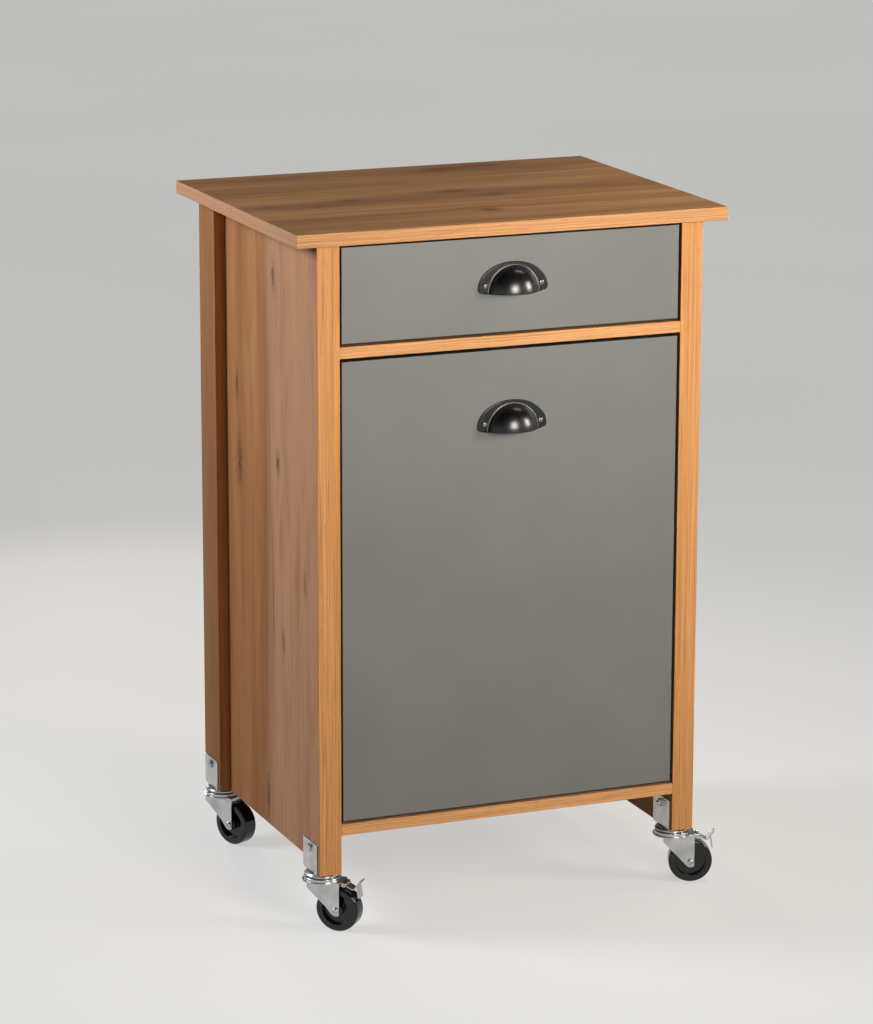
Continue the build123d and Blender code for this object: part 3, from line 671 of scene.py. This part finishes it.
def oak_banding(finish, run, across, board):
    """Straight-grained edge band: stripes along the edge, lines and dashes. Gives its colour and height."""
    figure = board["figure"]
    band = srgb(*board["band"])
    lane = across + (oak_noise(finish, "sway", run, across, figure) - NOISE_MIDDLE) * BAND_SWAY
    stripes = oak_noise(finish, "stripes", run, lane, figure)
    thread = oak_noise(finish, "thread", run, lane, figure)
    dashes = finish.smooth(oak_noise(finish, "dashes", run, lane, figure), DASH_START, DASH_FULL)
    colour = finish.ramp(stripes, *((place, scaled(band, lightness)) for place, lightness in BAND_STRIPES))
    for line in BAND_LINES:
        drawn = finish.smooth(abs(thread - line.middle), line.start, line.full)
        colour = finish.mix(drawn * line.share, colour, scaled(band, line.lightness))
    colour = finish.mix(dashes * DASH_SHARE, colour, scaled(band, DASH_LIGHTNESS))
    return colour, stripes * STRIPE_RELIEF - dashes * DASH_RELIEF


def oak_board(name, board):
    """A laminated board with the decor on its two faces and banding round its edges."""
    finish = Finish(name)
    place = finish.axes(finish.place)
    grain, thickness = board["grain"], board["thickness"]
    along, through = place[grain], place[thickness]
    across = place[X + Y + Z - grain - thickness]
    decor, decor_height = oak_decor(finish, along, across, board)
    banding, banding_height = oak_banding(finish, along + across, through, board)
    facing = finish.facing()
    on_end = finish.smooth(facing[grain], FACE_START, FACE_FULL)
    on_face = finish.smooth(facing[thickness], FACE_START, FACE_FULL)
    banding = finish.mix(on_end * END_SHARE, banding, srgb(*END_GRAIN))
    height = decor_height * on_face + banding_height * (1 - on_face)
    return finish.surface(
        Base_Color=finish.mix(on_face, banding, decor),
        Roughness=0.70 - height * 0.12,
        Specular_IOR_Level=0.16,
        Normal=finish.bump(height, strength=0.25, distance=0.0003),
    )


def oak_boards():
    for name, board in OAK_BOARDS.items():
        dress(oak_board(name, board), *board["names"])


# Grey fronts
def grey_lacquer():
    """Grey lacquer with dark grey edges, painted shade for the gaps round the fronts."""
    finish = Finish("grey_lacquer")
    cloud = finish.noise(finish.place, scale=9.0, detail=3.0)
    grain = finish.noise(finish.place, scale=900.0)
    face = finish.clouded(cloud, srgb(118, 118, 117), srgb(123, 123, 122))
    painted_gap_shade = finish.smooth(finish.facing()[Y], GAP_SHADE_START, GAP_SHADE_FULL)
    return finish.surface(
        # Painted shade: the edges of the fronts are dark grey, standing in for the shade in the gaps round
        # them
        Base_Color=finish.mix(painted_gap_shade, face, srgb(58, 58, 58)),
        Roughness=0.40 + grain * 0.08,
        Specular_IOR_Level=0.5,
        Normal=finish.bump(grain, strength=0.06, distance=0.0002),
    )


# Metals
def zinc_steel():
    finish = Finish("zinc_steel")
    cloud = finish.noise(finish.place, scale=60.0, detail=3.0)
    scuff = finish.noise(finish.place, scale=700.0)
    return finish.surface(
        Base_Color=finish.clouded(cloud, srgb(176, 177, 178), srgb(204, 204, 202)),
        Metallic=1.0,
        Roughness=0.20 + cloud * 0.14 + scuff * 0.06,
        Normal=finish.bump(scuff, strength=0.05, distance=0.0001),
    )


def black_enamel():
    finish = Finish("black_enamel")
    peel = finish.noise(finish.place, scale=420.0)
    cloud = finish.noise(finish.place, scale=50.0)
    return finish.surface(
        Base_Color=finish.clouded(cloud, srgb(9, 9, 9), srgb(15, 14, 14)),
        Roughness=0.22 + peel * 0.08,
        Specular_IOR_Level=0.60,
        Normal=finish.bump(peel, strength=0.02, distance=0.0001),
    )


def dark_nickel(name, shade, roughness):
    """Plated metal for the screws beside the enamel, and for the beads, whose lighter metal is a painted
    highlight.
    """
    finish = Finish(name)
    cloud = finish.noise(finish.place, scale=90.0)
    return finish.surface(
        Base_Color=finish.clouded(cloud, scaled(shade, 0.85), shade),
        Metallic=1.0,
        Roughness=roughness + cloud * 0.08,
    )


def runner_enamel():
    finish = Finish("runner_enamel")
    peel = finish.noise(finish.place, scale=500.0)
    cloud = finish.noise(finish.place, scale=30.0)
    return finish.surface(
        Base_Color=finish.clouded(cloud, srgb(220, 219, 214), srgb(230, 229, 225)),
        Roughness=0.32 + peel * 0.12,
        Normal=finish.bump(peel, strength=0.08, distance=0.0002),
    )


# Plastics
def moulded_plastic(name, plastic):
    """Moulded plastic with a fine pebbled skin and slight clouding."""
    finish = Finish(name)
    cloud = finish.noise(finish.place, scale=40.0, detail=3.0)
    pebbles = finish.noise(finish.place, scale=plastic["pebble_scale"])
    dark, light = (srgb(*tint) for tint in plastic["tints"])
    return finish.surface(
        Base_Color=finish.clouded(cloud, dark, light),
        Roughness=plastic["roughness"] + pebbles * 0.12,
        Normal=finish.bump(pebbles, strength=plastic["pebble_strength"], distance=0.0003),
    )


# Inner boards
def melamine():
    finish = Finish("melamine")
    cloud = finish.noise(finish.place, scale=14.0, detail=3.0)
    speck = finish.noise(finish.place, scale=1100.0)
    return finish.surface(
        Base_Color=finish.clouded(cloud, srgb(206, 202, 194), srgb(216, 213, 206)),
        Roughness=0.45 + speck * 0.12,
        Normal=finish.bump(speck, strength=0.06, distance=0.0002),
    )


def hardboard():
    finish = Finish("hardboard")
    felt = finish.noise(finish.place, scale=260.0, detail=4.0, roughness=0.65)
    cloud = finish.noise(finish.place, scale=12.0, detail=3.0)
    colour = finish.clouded(cloud, srgb(140, 102, 68), srgb(152, 113, 78))
    dark_felt = finish.smooth(felt, 0.6, 0.35) * 0.4
    return finish.surface(
        Base_Color=finish.mix(dark_felt, colour, srgb(112, 78, 50)),
        Roughness=0.62 + felt * 0.2,
        Normal=finish.bump(felt, strength=0.25, distance=0.0003),
    )


def beech():
    finish = Finish("beech")
    fleck = finish.noise(finish.place, scale=600.0, detail=3.0)
    return finish.surface(
        Base_Color=finish.clouded(fleck, srgb(176, 132, 88), srgb(206, 164, 118), start=0.35, end=0.65),
        Roughness=0.6 + fleck * 0.15,
        Normal=finish.bump(fleck, strength=0.2, distance=0.0003),
    )


def dress_fittings():
    zinc = zinc_steel()
    dress(zinc, *[f"{spot}_{piece}" for spot in CASTER_SPOTS for piece in ("bracket", "fork", "axle")])
    dress(zinc, "caster_bolts", "swivel_kingpins", "swivel_bearings", "front_left_brake", "front_right_brake")
    dress(zinc, "cam_fittings", "tilt_stop_pegs", "pivot_pins", "carrier_brackets", "strike_plate")
    dress(black_enamel(), "drawer_pull", "door_pull")
    screw_nickel = dark_nickel("screw_nickel", srgb(150, 149, 147), roughness=0.22)
    dress(screw_nickel, "drawer_pull_screws", "door_pull_screws")
    dress(runner_enamel(), *RUNNERS)
    for name, plastic in PLASTICS.items():
        dress(moulded_plastic(name, plastic), *plastic["names"])
    dress(melamine(), *DRAWER_BOARDS, *CARRIER_BOARDS)
    dress(hardboard(), "back_panel")
    dress(beech(), "carcass_dowels")
    dress(grey_lacquer(), *FRONTS)


# Pieces
def stand_for(piece, node):
    """Let a new piece move with, hide and take the finish of the CAD node that it stands for."""
    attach(piece, node_body[node])
    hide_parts(node)
    piece.data.materials.clear()
    piece.data.materials.append(nodes[node].data.materials[0])


def choose_none():
    bpy.ops.object.select_all(action="DESELECT")


def choose(piece):
    """Select this piece alone and make it active."""
    choose_none()
    piece.select_set(True)
    bpy.context.view_layer.objects.active = piece


def joined_copy(node):
    """A CAD node's mesh as a new piece, with its loose triangles joined into faces."""
    piece = bpy.data.objects.new(f"{node}_piece", nodes[node].data.copy())
    bpy.context.scene.collection.objects.link(piece)
    choose(piece)
    bpy.ops.mesh.customdata_custom_splitnormals_clear()
    bpy.ops.object.mode_set(mode="EDIT")
    bpy.ops.mesh.select_all(action="SELECT")
    bpy.ops.mesh.remove_doubles(threshold=JOIN_DISTANCE)
    bpy.ops.mesh.dissolve_limited(angle_limit=FLAT_ANGLE)
    bpy.ops.object.mode_set(mode="OBJECT")
    return piece


def finish_edges(piece, crease=CREASE):
    """Shade rounded stretches smooth and flat faces flat, with edges over the crease angle kept sharp."""
    choose(piece)
    bpy.ops.object.shade_smooth_by_angle(angle=crease)
    bpy.ops.object.modifier_add(type="WEIGHTED_NORMAL")
    piece.modifiers[-1].keep_sharp = True
    bpy.ops.object.modifier_apply(modifier=piece.modifiers[-1].name)


def round_edges(piece, width):
    """Round a piece's sharp edges."""
    choose(piece)
    bpy.ops.object.modifier_add(type="BEVEL")
    bevel = piece.modifiers[-1]
    bevel.width = width
    bevel.segments = ROUNDING_STEPS
    bevel.limit_method = "ANGLE"
    bevel.angle_limit = SHARP_ANGLE
    bevel.use_clamp_overlap = False
    bpy.ops.object.modifier_apply(modifier=bevel.name)


def softened(node, width, crease=CREASE):
    """A CAD piece with its sharp edges rounded, as pressed and moulded pieces have them."""
    piece = joined_copy(node)
    round_edges(piece, width)
    finish_edges(piece, crease)
    stand_for(piece, node)


def cut(piece, tool):
    """Take a tool's shape out of a piece, and the tool out of the scene."""
    choose(piece)
    bpy.ops.object.modifier_add(type="BOOLEAN")
    taking = piece.modifiers[-1]
    taking.object = tool
    taking.operation = "DIFFERENCE"
    bpy.ops.object.modifier_apply(modifier=taking.name)
    bpy.data.objects.remove(tool, do_unlink=True)


def cut_cross(piece, centre, outward, arm, depth):
    """Cut a cross recess into a screw head whose outer face has this centre and direction."""
    heading = outward.to_track_quat("Z", "Y")
    for turn in CROSS_TURNS:
        choose_none()
        bpy.ops.mesh.primitive_cube_add(size=1)
        bar = bpy.context.object
        bar.scale = (2 * arm, CROSS_WIDTH * arm, 2 * depth)
        bar.rotation_euler = (heading @ Quaternion(UP, turn)).to_euler()
        bar.location = centre
        bpy.ops.object.transform_apply(location=True, rotation=True, scale=True)
        cut(piece, bar)


def cut_dimple(piece, centre, outward):
    """Cut a round dimple into a rivet head whose outer face has this centre and direction."""
    choose_none()
    bpy.ops.mesh.primitive_cone_add(
        vertices=DIMPLE_SIDES,
        radius1=(1 - DIMPLE_FLARE) * DIMPLE_RADIUS,
        radius2=(1 + DIMPLE_FLARE) * DIMPLE_RADIUS,
        depth=2 * DIMPLE_DEPTH,
    )
    tool = bpy.context.object
    tool.rotation_euler = outward.to_track_quat("Z", "Y").to_euler()
    tool.location = centre
    bpy.ops.object.transform_apply(location=True, rotation=True, scale=True)
    cut(piece, tool)


def bevel_flange(piece, foot, screws):
    """Bevel the outer rim of a pull's flange, clear of its cup and screw holes."""
    choose(piece)
    bpy.ops.object.mode_set(mode="EDIT")
    bpy.ops.mesh.select_mode(type="EDGE")
    bpy.ops.mesh.select_all(action="DESELECT")
    bpy.ops.mesh.edges_select_sharp(sharpness=SHARP_ANGLE)
    bpy.ops.object.mode_set(mode="OBJECT")
    sharp = [edge.select for edge in piece.data.edges]
    bpy.ops.object.mode_set(mode="EDIT")
    bpy.ops.mesh.select_all(action="DESELECT")
    bpy.ops.object.mode_set(mode="OBJECT")
    face = foot.y - FLANGE_THICKNESS
    points = piece.data.vertices
    for edge, is_sharp in zip(piece.data.edges, sharp):
        first, second = (points[index].co for index in edge.vertices)
        middle = (first + second) / 2
        on_face = max(abs(first.y - face), abs(second.y - face)) < FACE_DISTANCE
        past_cup = (middle - foot).xz.length > CUP_CLEARANCE
        past_screws = all((middle - screw).xz.length > SCREW_CLEARANCE for screw in screws)
        edge.select = is_sharp and on_face and past_cup and past_screws
    bpy.ops.object.mode_set(mode="EDIT")
    bpy.ops.mesh.bevel(offset=FLANGE_BEVEL, segments=FLANGE_STEPS, affect="EDGES")
    bpy.ops.object.mode_set(mode="OBJECT")


def pull_bead(front, foot, material):
    """The rounded bead that runs over the rim of a cup, in a lighter metal that paints a highlight."""
    choose_none()
    bpy.ops.mesh.primitive_torus_add(
        major_radius=BEAD_RING,
        minor_radius=BEAD_RADIUS,
        major_segments=BEAD_STEPS,
        minor_segments=BEAD_SIDES,
        rotation=(QUARTER_TURN, 0, 0),
        location=foot - Vector((0, FLANGE_THICKNESS + BEAD_RADIUS, 0)),
    )
    bead = bpy.context.object
    bead.name = f"{front}_pull_bead"
    bpy.ops.object.transform_apply(location=True, rotation=True, scale=True)
    bpy.ops.object.mode_set(mode="EDIT")
    bpy.ops.mesh.select_all(action="SELECT")
    bpy.ops.mesh.bisect(plane_co=foot, plane_no=UP, use_fill=True, clear_inner=True)
    bpy.ops.object.mode_set(mode="OBJECT")
    finish_edges(bead)
    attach(bead, node_body[f"{front}_pull"])
    bead.data.materials.append(material)


def pulls():
    """Screws with cross recesses, cups with a bevelled flange, and the beads over their rims."""
    # Painted highlight: the beads are a lighter metal than the enamel, standing in for the highlight along
    # the rims
    highlight_metal = dark_nickel("bead_painted_highlight", srgb(136, 136, 134), roughness=0.30)
    for front in ("drawer", "door"):
        cup, screws = f"{front}_pull", f"{front}_pull_screws"
        low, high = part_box(screws)
        radius = (high.z - low.z) / 2
        heads = [Vector((x, low.y, low.z + radius)) for x in (low.x + radius, high.x - radius)]
        piece = joined_copy(screws)
        for head in heads:
            cut_cross(piece, head, FRONT, SCREW_CROSS_ARM * radius, SCREW_CROSS_DEPTH * radius)
        finish_edges(piece)
        stand_for(piece, screws)
        low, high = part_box(cup)
        foot = Vector(((low.x + high.x) / 2, high.y, low.z))
        piece = joined_copy(cup)
        bevel_flange(piece, foot, heads)
        round_edges(piece, METAL_ROUNDING)
        finish_edges(piece)
        stand_for(piece, cup)
        pull_bead(front, foot, highlight_metal)


def caster_bolts():
    """Bolts through the brackets, with a cross recess in each head."""
    bolts = joined_copy("caster_bolts")
    low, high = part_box("caster_bolts")
    for outward, reach in ((LEFT, -low.x), (RIGHT, high.x)):
        heads = [
            face.center.copy()
            for face in bolts.data.polygons
            if face.normal.dot(outward) > SQUARE_ON and face.center.dot(outward) > reach - FACE_DISTANCE
        ]
        for head in heads:
            cut_cross(bolts, head, outward, BOLT_CROSS_ARM, BOLT_CROSS_DEPTH)
    round_edges(bolts, THIN_ROUNDING)
    finish_edges(bolts)
    stand_for(bolts, "caster_bolts")


def caster_axle(spot):
    """An axle with a dimple in each of its rivet heads."""
    roll = next(joint for joint in behaviour["joints"] if joint["name"] == f"{spot}_roll")
    centre, along = Vector(roll["pos_m"]), Vector(roll["axis"]).normalized()
    axle = joined_copy(f"{spot}_axle")
    reach = max((point.co - centre).dot(along) for point in axle.data.vertices)
    for outward in (along, -along):
        cut_dimple(axle, centre + outward * reach, outward)
    finish_edges(axle)
    stand_for(axle, f"{spot}_axle")


def caster_pieces():
    caster_bolts()
    for spot in CASTER_SPOTS:
        softened(f"{spot}_bracket", METAL_ROUNDING)
        softened(f"{spot}_fork", METAL_ROUNDING, FORK_CREASE)
        softened(f"{spot}_wheel", WHEEL_ROUNDING)
        caster_axle(spot)
    for side in ("left", "right"):
        softened(f"front_{side}_brake", THIN_ROUNDING)


def board_edges():
    """Boards that stand alone, with the small rounding that edge bands have."""
    for name in OAK_BOARDS["oak_top"]["names"] + OAK_BOARDS["oak_shelf"]["names"]:
        softened(name, BOARD_ROUNDING)
    for name in DRAWER_BOARDS + CARRIER_BOARDS:
        softened(name, BOARD_ROUNDING)


def inner_fittings():
    """The bin with a rounded lip, and runners with rolled edges."""
    softened("waste_bin", BIN_ROUNDING, BIN_CREASE)
    for name in RUNNERS:
        softened(name, THIN_ROUNDING)


# Stage
def pale_floor():
    choose_none()
    bpy.ops.mesh.primitive_plane_add(size=FLOOR_SIZE)
    floor = bpy.context.object
    floor.name = "floor"
    finish = Finish("pale_floor")
    cloud = finish.noise(finish.place, scale=0.7)
    seen = finish.clouded(cloud, *(srgb(*tint) for tint in FLOOR_SEEN))
    unseen = finish.clouded(cloud, *(srgb(*tint) for tint in FLOOR_UNSEEN))
    finish.surface(
        Base_Color=finish.mix(finish.seen_directly(), unseen, seen),
        Roughness=0.7,
        Specular_IOR_Level=0.1,
    )
    lit = Value(finish, finish.shader.outputs[0])
    glow = finish.node("ShaderNodeEmission", inputs={"Color": seen})
    both = finish.mix_shaders(finish.seen_directly() * FLOOR_GLOW, lit, glow)
    finish.feed(finish.tree.nodes["Material Output"].inputs["Surface"], both)
    floor.data.materials.append(finish.material)


def pale_air():
    """Dim light from all round, and a sky that is seen and mirrored as pale low down and dark high up."""
    world = bpy.data.worlds.new("pale_air")
    bpy.context.scene.world = world
    world.use_nodes = True
    air = Nodes(world.node_tree)
    height = air.axes(air.node("ShaderNodeTexCoord", output="Generated"))[Z]
    shade = air.ramp(height, *((position, srgb(*tint)) for position, tint in AIR_SHADES))
    unseen = air.node("ShaderNodeBackground", inputs={"Color": srgb(*AIR_TINT), "Strength": AIR_LIGHT})
    seen = air.node("ShaderNodeBackground", inputs={"Color": shade})
    both = air.mix_shaders(air.seen_directly(), unseen, seen)
    air.feed(air.tree.nodes["World Output"].inputs["Surface"], both)


def soft_box(name, place, target, sides, spread, watts, tint):
    """A rectangular lamp turned towards its target."""
    light = bpy.data.lights.new(name, "AREA")
    light.shape = "RECTANGLE"
    light.size, light.size_y = sides
    light.spread = radians(spread)
    light.energy = watts
    light.color = srgb(*tint)[:3]
    holder = bpy.data.objects.new(name, light)
    holder.location = place
    holder.rotation_euler = (Vector(target) - Vector(place)).to_track_quat("-Z", "Y").to_euler()
    bpy.context.scene.collection.objects.link(holder)


def studio():
    pale_floor()
    pale_air()
    for name, lamp in LAMPS.items():
        soft_box(name, **lamp)


def photo_camera():
    lens = bpy.data.cameras.new("photo_camera")
    lens.sensor_width = SENSOR
    lens.lens = FOCAL_PIXELS / PHOTO_HEIGHT * SENSOR
    camera = bpy.data.objects.new("photo_camera", lens)
    camera.location = CAMERA_PLACE
    heading = Quaternion(UP, -CAMERA_YAW) @ Quaternion(RIGHT, QUARTER_TURN - CAMERA_PITCH)
    camera.rotation_mode = "QUATERNION"
    camera.rotation_quaternion = heading @ Quaternion(UP, CAMERA_ROLL)
    bpy.context.scene.collection.objects.link(camera)
    bpy.context.scene.camera = camera


oak_boards()
dress_fittings()
pulls()
caster_pieces()
board_edges()
inner_fittings()
studio()
photo_camera()
bpy.context.scene.view_settings.view_transform = "Standard"
